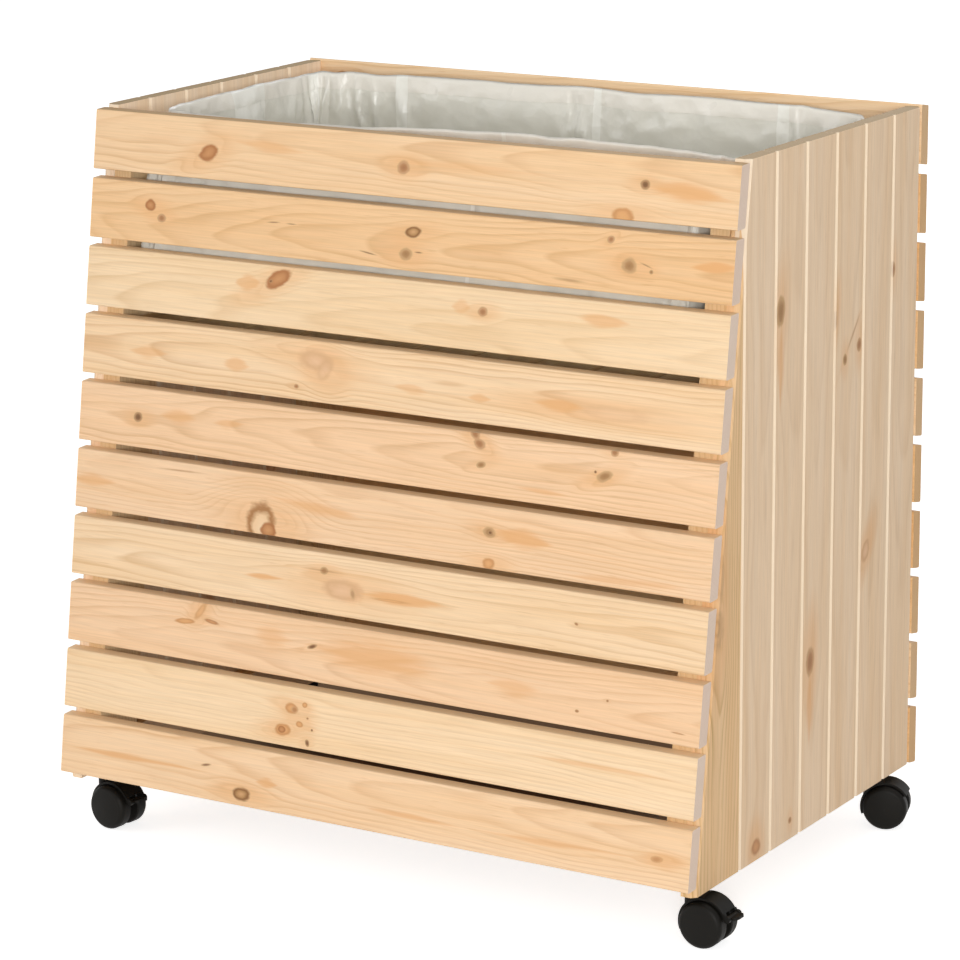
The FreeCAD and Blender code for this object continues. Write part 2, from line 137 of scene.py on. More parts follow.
def on_rays(add: Add, *kinds: str) -> Socket:
    """Tell some kinds of ray from the others.

    Args:
        add: Adds a node.
        kinds: Kinds of ray.

    Returns:
        1 on a ray of these kinds, 0 on any other.
    """
    path = add("LightPath")
    share: Any = 0.0
    for kind in kinds:
        share = add("Math", [path[f"Is {kind} Ray"], share], operation="MAXIMUM")[0]
    return share


def clamp(value: float, low: float = 0.0, high: float = 1.0) -> float:
    """Keep a value between two limits."""
    return max(low, min(high, value))


def smooth(share: float) -> float:
    """Ease a share from 0 to 1 at both ends."""
    return share * share * (3 - 2 * share)


def dress(node_name: str, material: bpy.types.Material) -> None:
    """Give a CAD node one material.

    Args:
        node_name: Name of the node.
        material: The material.
    """
    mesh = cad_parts[node_name].data
    mesh.materials.clear()
    mesh.materials.append(material)
    LOG.info("dressed %s in %s", node_name, material.name)


class KnotHue(Enum):
    """Colours of a knot from its middle to its rim; a flame is only a stain of resin."""

    BROWN = ("#a4714a", "#b07e55", "#c69a70")
    RED = ("#c9915f", "#bf8453", "#ad7245")
    OLIVE = ("#9f754a", "#ab8156", "#c59d70")
    CORE = ("#704c30", "#835c3d", "#b38b62")
    RINGED = ("#cda070", "#b98c5b", "#8a6038")
    BARK = ("#f0d0a8", "#ecc79c", "#a8774a")
    PALE = ("#e8bf98", "#e2b78e", "#d8aa80")
    AMBER = ("#dfa871", "#dba26b", "#cd945f")
    FLAME = ("#e6ad74", "#e6ad74", "#efc190")


BROWN, RED, OLIVE, CORE, RINGED, BARK, PALE, AMBER, FLAME = KnotHue


@dataclass(frozen=True)
class Knot:
    """A branch cut across, in millimetres on the face of a board.

    along and across are from the middle of the board, long and wide are half its size, fade is
    how softly it ends and strength how much it covers.
    """

    along: float
    across: float
    long: float
    wide: float
    turn_deg: float = 0.0
    hue: KnotHue = BROWN
    fade: float = 0.36
    strength: float = 0.95


@dataclass(frozen=True)
class Lie:
    """How a board lies: its long direction, the way across its face, and its middle in metres."""

    along: Point
    across: Point
    middle: Point

    def mapping(self) -> tuple[Vector, Vector]:
        """Work out the mapping from the bed to the board.

        Returns:
            Location in millimetres and rotation of a Mapping node that scales by 1000. Its X is
            then along the board, Y into it and Z across it.
        """
        along = Vector(self.along).normalized()
        across = Vector(self.across).normalized()
        turn = Matrix((along, across.cross(along), across))
        return -(turn @ Vector(self.middle)) / MM, Vector(turn.to_euler())


@dataclass(frozen=True)
class Grain:
    """How one board was cut from its tree, and its tone.

    The pith is the middle of the tree, in millimetres from the board's middle; slope and skew turn
    it in depth and across. ring is the width of a growth ring, bold how strongly rings show.
    """

    early: str = "#f5d3a0"
    late: str = "#dfae72"
    pith_across: float = 12.0
    pith_depth: float = 55.0
    slope_deg: float = 1.2
    skew_deg: float = 0.5
    ring: float = 4.2
    bold: float = 0.6
    seed: float = 0.0


@dataclass(frozen=True)
class PlanedPine:
    """Scots pine, planed and left bare: soft pale wood between darker ring lines, with knots.

    The surface is matt, with a faint sheen along the fibres. A pattern's spread is its run along
    the board and its width across it, in millimetres, and its octaves. Fibres are drawn 1.6 mm
    wide, coarser than real ones, so that they show. ring_tones are the darkness through one ring.
    parting is how far rings give way to a knot, as a share of its width, and parting_drawn how
    that is drawn out. A rim is where a knot or a stain ends, 1 being its plain size.
    """

    fibre: Point = (70.0, 1.6, 3.0)
    blotch: Point = (260.0, 60.0, 2.0)
    band: Point = (420.0, 20.0, 2.0)
    dash: Point = (26.0, 1.5, 1.0)
    ragged: Point = (14.0, 7.0, 2.0)
    uneven: Point = (70.0, 6.0, 3.0)
    bend: Point = (260.0, 55.0, 2.0)
    bend_mm: float = 8.0
    ring_tones: Pairs = ((0.0, 0.05), (0.5, 0.16), (0.88, 1.0), (1.0, 0.05))
    seed_step: Point = (913.0, 171.0, 57.0)
    warm_cast: Point = (0.97, 0.935, 0.88)
    pale_cast: Point = (1.015, 1.035, 1.07)
    parting: float = 1.5
    parting_drawn: Point = (0.42, 1.0, 0.8)
    full_knot_mm: float = 6.0
    through_mm: float = 1e6
    knot_rim: float = 1.2
    knot_stops: Point = (0.3, 0.7, 0.97)
    ragged_share: float = 0.5
    flame_rim: float = 1.7
    flame_bow: float = 1.7
    flame_width: float = 0.8
    uneven_share: float = 1.5
    flame: str = "#eab884"
    # end_tint is the colour of the sawn end grain; the side panels' darker one is also painted
    # shade.
    end_tint: str = "#d8bba2"
    end_share: float = 0.7
    end_from: float = 0.75
    # Painted light and shade: the edge tint colours the faces across the board, lighter for painted
    # light and darker for painted shade; the default is darker, painted shade.
    edge_light_and_shade_tint: str = "#c09a62"
    edge_light_and_shade_share: float = 0.25
    edge_light_and_shade_from: float = 0.75
    facing_rise: float = 0.2
    roughness: float = 0.58

    def material(self, name: str, lie: Lie, grain: Grain,
                 knots: tuple[Knot, ...] = ()) -> bpy.types.Material:
        """Build the wood of one board.

        Args:
            name: Name of the material.
            lie: How the board lies.
            grain: How it was cut.
            knots: Its knots.

        Returns:
            The material.
        """
        material, add = new_material(name)
        coords = add("TexCoord")
        location, rotation = lie.mapping()
        place = add("Mapping", {
            "Vector": coords["Object"], "Location": location, "Rotation": rotation,
            "Scale": (1 / MM, 1 / MM, 1 / MM)})[0]
        shifted = add("VectorMath", [
            place, [grain.seed * step for step in self.seed_step]], operation="ADD")[0]
        rings, near, knot_paint = self.ring_field(add, place, shifted, grain, knots)
        late = add("ValToRGB", {"Fac": rings})
        tones = [(at, (tone, tone, tone, 1.0)) for at, tone in self.ring_tones]
        fill_ramp(late[0].node.color_ramp, tones)
        fibre, blotch, dash, band = (
            self.stretched_noise(add, shifted, spread)
            for spread in (self.fibre, self.blotch, self.dash, self.band))
        strength = add("MapRange", {
            "Value": blotch, "From Min": 0.3, "From Max": 0.7, "To Min": 0.3 * grain.bold,
            "To Max": grain.bold})[0]
        line = add("Math", [late[0], strength], operation="MULTIPLY")[0]
        wood = add("Mix", {
            "Factor": line, 6: linear(grain.early), 7: linear(grain.late)}, data_type="RGBA")[2]
        flame = add("Math", [near, blotch], operation="MULTIPLY")[0]
        wood = self.tinted(add, wood, flame, (0.04, 0.6), self.flame, 0.62)
        wood = self.tinted(add, wood, dash, (0.64, 0.8), grain.late, 0.4)
        streak = add("MapRange", {
            "Value": fibre, "From Min": 0.32, "From Max": 0.68, "To Min": 0.94, "To Max": 1.04})[0]
        wood = add("VectorMath", {0: wood, "Scale": streak}, operation="SCALE")[0]
        cast = add("MapRange", {
            "Vector": band, 7: (0.3,) * 3, 8: (0.7,) * 3, 9: self.warm_cast, 10: self.pale_cast},
            data_type="FLOAT_VECTOR")["Vector"]
        wood = add("VectorMath", [wood, cast], operation="MULTIPLY")[0]
        for mask, colour in knot_paint:
            wood = add("Mix", {"Factor": mask, 6: wood, 7: colour}, data_type="RGBA")[2]
        wood = self.end_grain_and_painted_edges(add, coords, lie, wood)
        relief = add("Math", [fibre, 0.6, late[0]], operation="MULTIPLY_ADD")[0]
        bump = add("Bump", {"Strength": 0.22, "Distance": 0.0003, "Height": relief})
        finish_shader(add, {
            "Base Color": wood, "Roughness": self.roughness, "IOR": 1.46, "Specular IOR Level": 0.3,
            "Normal": bump[0]})
        return material

    def tinted(self, add: Add, wood: Socket, amount: Socket, rise: tuple[float, float],
               tint: str, share: float) -> Socket:
        """Mix a share of a tint into the wood, where an amount rises between two values."""
        mask = add("MapRange", {
            "Value": amount, "From Min": rise[0], "From Max": rise[1], "To Max": share})[0]
        return add("Mix", {"Factor": mask, 6: wood, 7: linear(tint)}, data_type="RGBA")[2]

    def stretched_noise(self, add: Add, vector: Socket, spread: Point) -> Socket:
        """Noise drawn out along the board.

        Args:
            add: Adds a node.
            vector: Place on the board in millimetres.
            spread: Run, width and octaves.

        Returns:
            Noise value from 0 to 1.
        """
        run_mm, width_mm, octaves = spread
        squeezed = add("VectorMath", [
            vector, (1 / run_mm, 1 / width_mm, 1 / width_mm)], operation="MULTIPLY")[0]
        return add("TexNoise", {
            "Vector": squeezed, "Scale": 1.0, "Detail": octaves, "Roughness": 0.55})[0]

    def ring_field(self, add: Add, place: Socket, shifted: Socket, grain: Grain,
                   knots: tuple[Knot, ...]) -> tuple[Socket, Any, list[Any]]:
        """Distance from the pith in rings, parted round each knot.

        Args:
            add: Adds a node.
            place: Place on the board in millimetres.
            shifted: The same, moved by the board's seed.
            grain: How the board was cut.
            knots: Its knots.

        Returns:
            Share of a ring from 0 to 1, the nearness to knots, and mask and colour of each knot.
        """
        ragged = self.stretched_noise(add, shifted, self.ragged)
        uneven = self.stretched_noise(add, shifted, self.uneven)
        near: Any = 0.0
        parting: Any = 0.0
        paint = []
        for knot in knots:
            spot = add("Mapping", {
                "Vector": place, "Location": (knot.along, 0.0, knot.across),
                "Rotation": (0.0, -math.radians(knot.turn_deg), 0.0),
                "Scale": (knot.long, self.through_mm, knot.wide)}, vector_type="TEXTURE")[0]
            if knot.hue is FLAME:
                paint.append(self.flame_stain(add, spot, uneven, knot))
                continue
            away = add("VectorMath", [spot], operation="LENGTH")["Value"]
            drawn = add("VectorMath", [spot, self.parting_drawn], operation="MULTIPLY")[0]
            far = add("VectorMath", [drawn], operation="LENGTH")["Value"]
            lift = add("MapRange", {
                "Value": far, "From Min": 0.3, "From Max": 2.6, "To Min": 1.0, "To Max": 0.0},
                interpolation_type="SMOOTHERSTEP")[0]
            near = add("Math", [
                lift, min(1.0, knot.wide / self.full_knot_mm), near], operation="MULTIPLY_ADD")[0]
            across = add("SeparateXYZ", [spot])["Z"]
            side = add("Math", [across], operation="TANH")[0]
            push = add("Math", [side, lift], operation="MULTIPLY")[0]
            parting = add("Math", [
                push, -self.parting * knot.wide, parting], operation="MULTIPLY_ADD")[0]
            edge = add("Math", [ragged, self.ragged_share, away], operation="MULTIPLY_ADD")[0]
            mask = add("MapRange", {
                "Value": edge, "From Min": self.knot_rim - knot.fade / 2,
                "From Max": self.knot_rim + knot.fade / 2, "To Min": knot.strength, "To Max": 0.0},
                interpolation_type="SMOOTHSTEP")[0]
            ramp = add("ValToRGB", {"Fac": edge})
            tones = list(zip(self.knot_stops, map(linear, knot.hue.value)))
            fill_ramp(ramp[0].node.color_ramp, tones)
            paint.append((mask, ramp[0]))
        aside = add("CombineXYZ", {"Z": parting})[0]
        parted = add("VectorMath", [place, aside], operation="ADD")[0]
        pith = add("Mapping", {
            "Vector": parted, "Location": (0.0, -grain.pith_depth, -grain.pith_across),
            "Rotation": (0.0, math.radians(grain.skew_deg), math.radians(grain.slope_deg))})[0]
        flat = add("VectorMath", [pith, (0.0, 1.0, 1.0)], operation="MULTIPLY")[0]
        radius = add("VectorMath", [flat], operation="LENGTH")["Value"]
        bend = self.stretched_noise(add, shifted, self.bend)
        radius = add("Math", [bend, 2 * self.bend_mm, radius], operation="MULTIPLY_ADD")[0]
        turns = add("Math", [radius, grain.ring], operation="DIVIDE")[0]
        rings = add("Math", [turns], operation="FRACT")[0]
        return rings, near, paint

    def flame_stain(self, add: Add, spot: Socket, uneven: Socket,
                    knot: Knot) -> tuple[Socket, tuple[float, ...]]:
        """A resin stain like a lens, whose edge follows the fibres.

        Args:
            add: Adds a node.
            spot: Place in the stain, 1 at its ends.
            uneven: Noise for its edge.
            knot: The stain.

        Returns:
            Its mask and its colour.
        """
        size = add("VectorMath", [spot], operation="ABSOLUTE")[0]
        parts = add("SeparateXYZ", [size])
        bow = add("Math", [parts["X"], self.flame_bow], operation="POWER")[0]
        away = add("Math", [parts["Z"], self.flame_width, bow], operation="MULTIPLY_ADD")[0]
        edge = add("Math", [uneven, self.uneven_share, away], operation="MULTIPLY_ADD")[0]
        mask = add("MapRange", {
            "Value": edge, "From Min": self.flame_rim - 0.9 * knot.fade,
            "From Max": self.flame_rim + 0.5 * knot.fade, "To Min": knot.strength, "To Max": 0.0},
            interpolation_type="SMOOTHSTEP")[0]
        return mask, linear(knot.hue.value[0])

    def end_grain_and_painted_edges(self, add: Add, coords: Outputs, lie: Lie, wood: Socket) -> Socket:
        """Tint the sawn ends, where the fibres stand open, and paint light and shade on the edges.

        Args:
            add: Adds a node.
            coords: Texture coordinates.
            lie: How the board lies.
            wood: Colour of the board.

        Returns:
            Colour with tinted ends, and painted light and shade on the edges.
        """
        for way, tint, share, start in (
                (lie.along, self.end_tint, self.end_share, self.end_from),
                (lie.across, self.edge_light_and_shade_tint, self.edge_light_and_shade_share, self.edge_light_and_shade_from)):
            facing = add("VectorMath", [coords["Normal"], way], operation="DOT_PRODUCT")["Value"]
            square = add("Math", [facing], operation="ABSOLUTE")[0]
            wood = self.tinted(add, wood, square, (start, start + self.facing_rise), tint, share)
        return wood


@dataclass(frozen=True)
class WovenFilm:
    """Woven polyethylene tape film: pale grey, half glossy, with a fine weave and bright crinkles.

    It is paler where two layers lap. laps are the middle and half width of each lap as shares
    round the bag, seam_from the depth in metres where a sewn edge starts. The tapes are 2.4 mm
    wide; they are drawn 4 mm wide so that the weave shows.
    """

    name: str = "woven_polyethylene_film"
    pale: str = "#eae7dc"
    grey: str = "#dbd8cd"
    lapped: str = "#f2f0e7"
    laps: Pairs = (
        (0.9295, 0.0147), (0.858, 0.0085), (0.776, 0.0035), (0.672, 0.0025), (0.583, 0.004),
        (0.213, 0.0012))
    seam_from: float = 1.0
    round_m: float = 2.2
    tape_mm: float = 4.0
    crinkle_mm: float = 46.0
    cloud_mm: float = 71.43
    roughness: float = 0.29

    def material(self) -> bpy.types.Material:
        """Build the film.

        Returns:
            The material, which reads the piece's own map in metres.
        """
        material, add = new_material(self.name)
        coords = add("TexCoord")
        cells = add("VectorMath", {
            0: coords["UV"], "Scale": 1 / (self.tape_mm * MM)}, operation="SCALE")[0]
        weave = add("TexChecker", {"Vector": cells, "Scale": 1.0})
        cloud = add("TexNoise", {
            "Vector": coords["Object"], "Scale": 1 / (self.cloud_mm * MM), "Detail": 3.0})[0]
        shade = add("Mix", {
            "Factor": cloud, 6: linear(self.grey), 7: linear(self.pale)}, data_type="RGBA")[2]
        spread = add("SeparateXYZ", [coords["UV"]])
        double = add("Math", [spread["Y"], self.seam_from], operation="GREATER_THAN")[0]
        for middle, half in self.laps:
            lap = add("Math", [
                spread["X"], middle * self.round_m, half * self.round_m], operation="COMPARE")[0]
            double = add("Math", [double, lap], operation="MAXIMUM")[0]
        shade = add("Mix", {
            "Factor": double, 6: shade, 7: linear(self.lapped)}, data_type="RGBA")[2]
        gloss = add("MapRange", {
            "Value": cloud, "To Min": self.roughness - 0.08, "To Max": self.roughness + 0.12})[0]
        facets = add("TexVoronoi", {
            "Vector": coords["UV"], "Scale": 1 / (self.crinkle_mm * MM), "Detail": 2.0,
            "Roughness": 0.55}, feature="F1")
        bump = add("Bump", {"Strength": 0.5, "Distance": 0.004, "Height": facets["Distance"]})
        bump = add("Bump", {
            "Strength": 0.12, "Distance": 0.0002, "Height": weave["Fac"], "Normal": bump[0]})
        finish_shader(add, {"Base Color": shade, "Roughness": gloss, "IOR": 1.5, "Normal": bump[0]})
        return material


@dataclass(frozen=True)
class MouldedNylon:
    """Black nylon, injection moulded: a soft sheen on a fine sparked texture."""

    name: str = "black_moulded_nylon"
    black: str = "#100e0a"
    worn: str = "#161411"
    grit_mm: float = 1.2
    smudge_mm: float = 16.67
    roughness: float = 0.5

    def material(self) -> bpy.types.Material:
        """Build the nylon.

        Returns:
            The material.
        """
        material, add = new_material(self.name)
        place = add("TexCoord")["Object"]
        grit = add("TexNoise", {"Vector": place, "Scale": 1 / (self.grit_mm * MM), "Detail": 2.0})
        smudge = add("TexNoise", {"Vector": place, "Scale": 1 / (self.smudge_mm * MM)})[0]
        tone = add("Mix", {
            "Factor": smudge, 6: linear(self.black), 7: linear(self.worn)}, data_type="RGBA")[2]
        gloss = add("MapRange", {
            "Value": smudge, "To Min": self.roughness - 0.1, "To Max": self.roughness + 0.14})[0]
        bump = add("Bump", {"Strength": 0.15, "Distance": 0.0002, "Height": grit[0]})
        finish_shader(add, {
            "Base Color": tone, "Roughness": gloss, "IOR": 1.53, "Specular IOR Level": 0.12,
            "Normal": bump[0]})
        return material


@dataclass(frozen=True)
class DrawnSteel:
    """Bright drawn steel wire and rod, with fine lines from the die."""

    name: str = "bright_drawn_steel"
    colour: str = "#b9babb"
    line_mm: float = 0.5

    def material(self) -> bpy.types.Material:
        """Build the steel.

        Returns:
            The material.
        """
        material, add = new_material(self.name)
        place = add("TexCoord")["Object"]
        lines = add("TexNoise", {"Vector": place, "Scale": 1 / (self.line_mm * MM), "Detail": 1.0})
        gloss = add("MapRange", {"Value": lines[0], "To Min": 0.25, "To Max": 0.45})[0]
        finish_shader(add, {"Base Color": linear(self.colour), "Metallic": 1.0, "Roughness": gloss})
        return material


@dataclass
class FrontWall:
    """The leaning front: ten slats from the top; the rim slat's top carries painted shade."""

    pine: PlanedPine
    rim_pine: PlanedPine
    foot_y: float = -0.2735
    face_mm: float = 65.77
    gap_mm: float = 9.6
    grains: tuple[Grain, ...] = (
        Grain("#f3cfa4", "#ddb081", 18, 44, 1.9, 0.5, 4.4, 0.7, 1.0),
        Grain("#f1c898", "#d8a874", -6, 52, 2.2, 0.8, 3.8, 0.7, 2.3),
        Grain("#f6d8b0", "#e4bf91", -18, 50, 1.7, 0.3, 4.4, 0.65, 3.1),
        Grain("#f7d6ad", "#dcb184", 2, 26, 1.0, 0.25, 4.0, 0.85, 4.7),
        Grain("#f6cfa6", "#daad7e", 4, 34, 1.9, 0.6, 3.6, 0.75, 5.2),
        Grain("#f6d1a9", "#dbab7c", 30, 42, 1.3, 0.9, 3.8, 0.65, 6.9),
        Grain("#f8d8b0", "#deb585", -4, 28, 0.9, 0.4, 4.2, 0.8, 7.4),
        Grain("#f6cfa6", "#dfb083", -12, 36, 2.1, 0.5, 4.2, 0.65, 8.8),
        Grain("#fbdcb4", "#e6c091", 38, 58, 0.6, 0.3, 3.2, 0.65, 9.5),
        Grain("#f8d4ab", "#e1b384", 14, 40, 1.6, 0.7, 4.0, 0.68, 10.6),
    )
    knots: tuple[tuple[Knot, ...], ...] = (
        (Knot(-170, 9, 44, 5, -4, FLAME, 0.7, 0.55), Knot(-247, -4, 13, 9, 25, RED),
         Knot(90, 6, 95, 5, 0, FLAME, 0.8, 0.35), Knot(3, 0, 8, 7.5),
         Knot(338, 1, 46, 9, -4, FLAME, 0.7, 0.8), Knot(292, 5, 6, 5.5, 0, CORE),
         Knot(268, -29, 13, 9, 0, AMBER)),
        (Knot(-320, 9, 7, 6.5, 0, RED), Knot(-304, -4, 6, 5),
         Knot(-157, 4, 8, 0.9, 4, CORE, 0.8, 0.7), Knot(-134, 4, 6, 0.8, 0, CORE, 0.8, 0.6),
         Knot(-35, -18, 11, 0.9, -8, CORE, 0.8, 0.75), Knot(20, 9, 10, 6, 8, RINGED),
         Knot(12, -15, 8.5, 7, 0, OLIVE), Knot(28, -12, 5, 1, 0, CORE, 0.8, 0.7),
         Knot(257, 22, 5, 4, 30), Knot(280, -3, 9, 8, 0, OLIVE),
         Knot(300, -1, 8, 0.9, -18, CORE, 0.8, 0.5), Knot(306, -7, 2.5, 2.5, 0, OLIVE),
         Knot(212, -24, 19, 1.8, -2, OLIVE, 0.9, 0.55), Knot(378, 4, 26, 5, 4, FLAME, 0.6, 0.9)),
        (Knot(-147, 19, 18, 8.5, 28, RED), Knot(-156, 16, 3, 2, 20, CORE, 0.8, 0.8),
         Knot(-186, 12, 16, 8, 8, FLAME, 0.5, 0.6), Knot(111, 9, 6, 5.5),
         Knot(84, 11, 12, 7, 0, FLAME, 0.6, 0.5), Knot(252, 14, 32, 7, -2, FLAME, 0.5, 0.6)),
        (Knot(-92, 12, 21, 11, -8, PALE, 0.7, 0.75), Knot(-80, 4, 9, 13, -30, PALE, 0.6, 0.5),
         Knot(-115, -18, 3.2, 2.6), Knot(-312, -1, 24, 7, 0, FLAME, 0.6, 0.55),
         Knot(-195, -3, 18, 6, 0, FLAME, 0.6, 0.6), Knot(30, -6, 22, 5, -3, FLAME, 0.6, 0.45),
         Knot(114, -6, 14, 4, 0, FLAME, 0.6, 0.6), Knot(210, -3, 30, 6, 0, FLAME, 0.6, 0.75),
         Knot(276, -5, 42, 8, 0, PALE, 0.5, 0.35)),
        (Knot(-321, 1, 6, 5.5, 0, CORE), Knot(-266, 7, 24, 7, 0, FLAME, 0.8, 0.6),
         Knot(-200, 7, 20, 5, 4, FLAME, 0.7, 0.55), Knot(112, 31, 7, 5, -30),
         Knot(118, 22, 7.5, 5.5, -20), Knot(121, 0, 6, 3.5, 15, OLIVE), Knot(279, 31, 5, 4),
         Knot(269, 5.5, 10, 5.5, 25, OLIVE), Knot(258, 9, 1.6, 1.6, 0, CORE),
         Knot(200, -19, 32, 2.5, -2, FLAME, 0.9, 0.6)),
        (Knot(-80, 5, 55, 7, -5, FLAME, 0.8, 0.65), Knot(-258, 24, 30, 1.1, 1, BROWN, 0.9, 0.55),
         Knot(-378, 0, 30, 6, 0, FLAME, 0.6, 0.6), Knot(-150, -24, 19, 28, 0, BARK),
         Knot(-140, -27, 10.5, 9, 0, RED), Knot(137, 6, 8, 5.5, -8, OLIVE),
         Knot(138, 6, 3.5, 2.5, 0, CORE), Knot(178, 3, 36, 9, -4, FLAME, 0.6, 0.8),
         Knot(138, -27, 8, 6.5, 0, AMBER), Knot(300, -24, 80, 4, 2, FLAME, 0.9, 0.5)),
        (Knot(-143, -3, 30, 3, 2, FLAME, 0.6, 0.85), Knot(-65, 14, 5.5, 4.5, 0, OLIVE),
         Knot(-66, 14, 26, 1.2, 0, BROWN, 0.9, 0.5), Knot(-40, -4, 25, 12, 0, PALE, 0.5, 0.8),
         Knot(-27, -6, 3, 6, 15, OLIVE, 0.8, 0.6), Knot(38, -4, 52, 6, 0, FLAME, 0.5, 0.8),
         Knot(20, -7, 24, 1.6, 1, AMBER, 0.8, 0.7), Knot(248, 0, 2.6, 1.6, -15)),
        (Knot(5, 4, 84, 16, 0, FLAME, 0.8, 0.7), Knot(-127, 8, 24, 11, 0, FLAME, 0.9, 0.5),
         Knot(-242, 10, 14, 3, 5, AMBER), Knot(-222, 24, 4, 12, -35, AMBER, 0.7, 0.7),
         Knot(-207, 14, 10, 2.2, -8, RED, 0.7, 0.85), Knot(-74, 5.5, 6.5, 2.4, 20, CORE, 0.5),
         Knot(180, -2, 34, 8, -3, FLAME, 0.7, 0.5), Knot(256, -15, 2.6, 1.8),
         Knot(291, 1, 1.6, 1.4), Knot(375, -20, 8, 0.9, -3, RED, 0.8, 0.7)),
        (Knot(-96, 10, 8.5, 6, -10, AMBER), Knot(-92, 9, 4.5, 4, 0, BROWN, 0.8, 0.7),
         Knot(-106, -15, 10.5, 7, 5, AMBER), Knot(-107, -15, 5, 4, 0, RED),
         Knot(-84.5, -6, 5, 3.6, 0, AMBER), Knot(-79, 16, 3.6, 3, 0, AMBER),
         Knot(-73, -25, 2.8, 4.2, 20, CORE), Knot(-74.5, 2, 1.6, 1.2),
         Knot(-68, -10, 1.6, 1.6, 0, CORE), Knot(290, 6, 90, 2.6, 0, FLAME, 0.9, 0.5)),
        (Knot(-305, -2, 100, 3, 0, FLAME, 0.7, 0.75), Knot(-154, -19, 11.5, 8, 0, RINGED),
         Knot(-203, 6, 6.5, 1.4, 12, CORE, 0.8, 0.8), Knot(-122, -2, 14, 5, 0, FLAME, 0.6, 0.7),
         Knot(60, -8, 60, 3, -1, FLAME, 0.8, 0.6), Knot(240, -7, 90, 3, 1, FLAME, 0.8, 0.55),
         Knot(361, -3, 7.5, 3.6, 5), Knot(372, -3, 30, 9, 0, FLAME, 0.8, 0.45)),
    )

    def dress(self) -> None:
        """Give each slat its own board of pine."""
        lean = math.radians(LEAN_DEG)
        pitch = self.face_mm + self.gap_mm
        up = (0.0, math.sin(lean), math.cos(lean))
        for index, grain in enumerate(self.grains):
            rise = ((len(self.grains) - 1 - index) * pitch + self.face_mm / 2) * MM
            middle = (0.0, self.foot_y + rise * up[1], SLAT_FOOT_Z + rise * up[2])
            name = f"front_slat_{index + 1:02d}"
            lie = Lie(RIGHT, up, middle)
            # The rim slat's pine paints shade on its top and bottom faces; the other slats' pine
            # paints light there.
            pine = self.pine if index else self.rim_pine
            dress(name, pine.material(f"planed_pine_{name}", lie, grain, self.knots[index]))


@dataclass
class BackWall:
    """The upright back: ten slats, counted from the top."""

    pine: PlanedPine
    count: int = 10
    # Painted light: these tones are lighter, to make up for the shade on the slats' inner faces.
    tones: tuple[str, ...] = ("#f9dab2", "#f3c68f", "#efbf86", "#f5cc98")
    late: str = "#dcae76"
    hues: tuple[KnotHue, ...] = (BROWN, RED, AMBER)
    first_seed: float = 20.5

    def dress(self) -> None:
        """Give each slat its own board of pine."""
        draw = random.Random(41)
        for index in range(self.count):
            name = f"back_slat_{index + 1:02d}"
            low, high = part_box(name)
            middle = (low + high) / 2
            lie = Lie(RIGHT, UP, (0.0, middle.y, middle.z))
            grain = Grain(self.tones[index % len(self.tones)], self.late, draw.uniform(-25, 25),
                          draw.uniform(35, 65), draw.uniform(0.8, 1.8), draw.uniform(0.2, 0.8),
                          draw.uniform(4, 5), seed=self.first_seed + index)
            knots = tuple(Knot(draw.uniform(-380, 380), draw.uniform(-22, 22), draw.uniform(5, 10),
                               draw.uniform(4, 8), draw.uniform(-20, 20), draw.choice(self.hues))
                          for _ in range(draw.randint(2, 4)))
            dress(name, self.pine.material(f"planed_pine_{name}", lie, grain, knots))


@dataclass
class SidePanel:
    """One side: a wedge-shaped front board and six full boards, counted from the front."""

    pine: PlanedPine
    side: str
    full: Grain = Grain("#f5d8b6", "#dcb890", 10, 60, 1.2, 0.4, 6.0, 0.42)
    wedge: Grain = Grain("#f1cb9c", "#c2995c", 4, 16, 2.2, 0.9, 5.6, 0.8)
    # Painted light: the left panel's tones are lighter than the right's, to make up for the shade
    # on its inner face.
    left_painted_light_tones: tuple[str, str] = ("#ffe6c8", "#efcfa8")
    middle_z: float = 0.435
    knots: tuple[tuple[Knot, ...], ...] = (
        (Knot(-47, 2, 24, 7, 0, RINGED, 0.7, 0.3), Knot(-100, -4, 22, 13, 0, RINGED, 0.6, 0.3),
         Knot(-98, -4, 10, 6, 0, RINGED, 0.6, 0.35), Knot(60, 8, 60, 4, -4, FLAME, 0.8, 0.7)),
        (Knot(-360, 5, 9, 10, 0, RED, 0.6, 0.8),),
        (Knot(207, -20, 17, 10, 8, OLIVE), Knot(150, -18, 46, 6, 0, FLAME, 0.8, 0.6),
         Knot(-354, 15, 4, 4)),
        (Knot(-188, -11, 17, 9.5, 5), Knot(-240, -10, 40, 7, 0, FLAME, 0.8, 0.6)),
        (Knot(172, -33, 13, 6, 12), Knot(128, -6, 6, 5, 0, OLIVE), Knot(138, 28, 8, 6),
         Knot(154, 14, 22, 2, 40, BROWN, 0.9, 0.5)),
        (Knot(-97, -17, 14, 9, 30, PALE),),
        (Knot(206, -28, 9, 5),),
    )

    def dress(self) -> None:
        """Give each board of the panel its own pine."""
        left = self.side == "left"
        draw = random.Random(19 if left else 7)
        first_seed = 71.0 if left else 31.0
        for number, knots in enumerate(self.knots, 1):
            name = f"{self.side}_board_{number}"
            low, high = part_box(name)
            middle = (low + high) / 2
            lie = Lie(UP, BACK, (middle.x, middle.y, self.middle_z))
            base = self.wedge if number == 1 else self.full
            # The left boards take the lighter tones, painted light.
            early, late = self.left_painted_light_tones if left else (base.early, base.late)
            grain = replace(base, early=early, late=late, seed=first_seed + number,
                            pith_across=base.pith_across + draw.uniform(-14, 14),
                            slope_deg=base.slope_deg * draw.uniform(0.6, 1.3))
            # The wedge board gets no painted light on its edges.
            pine = replace(self.pine, edge_light_and_shade_share=0.0) if number == 1 else self.pine
            dress(name, pine.material(f"planed_pine_{name}", lie, grain, knots))


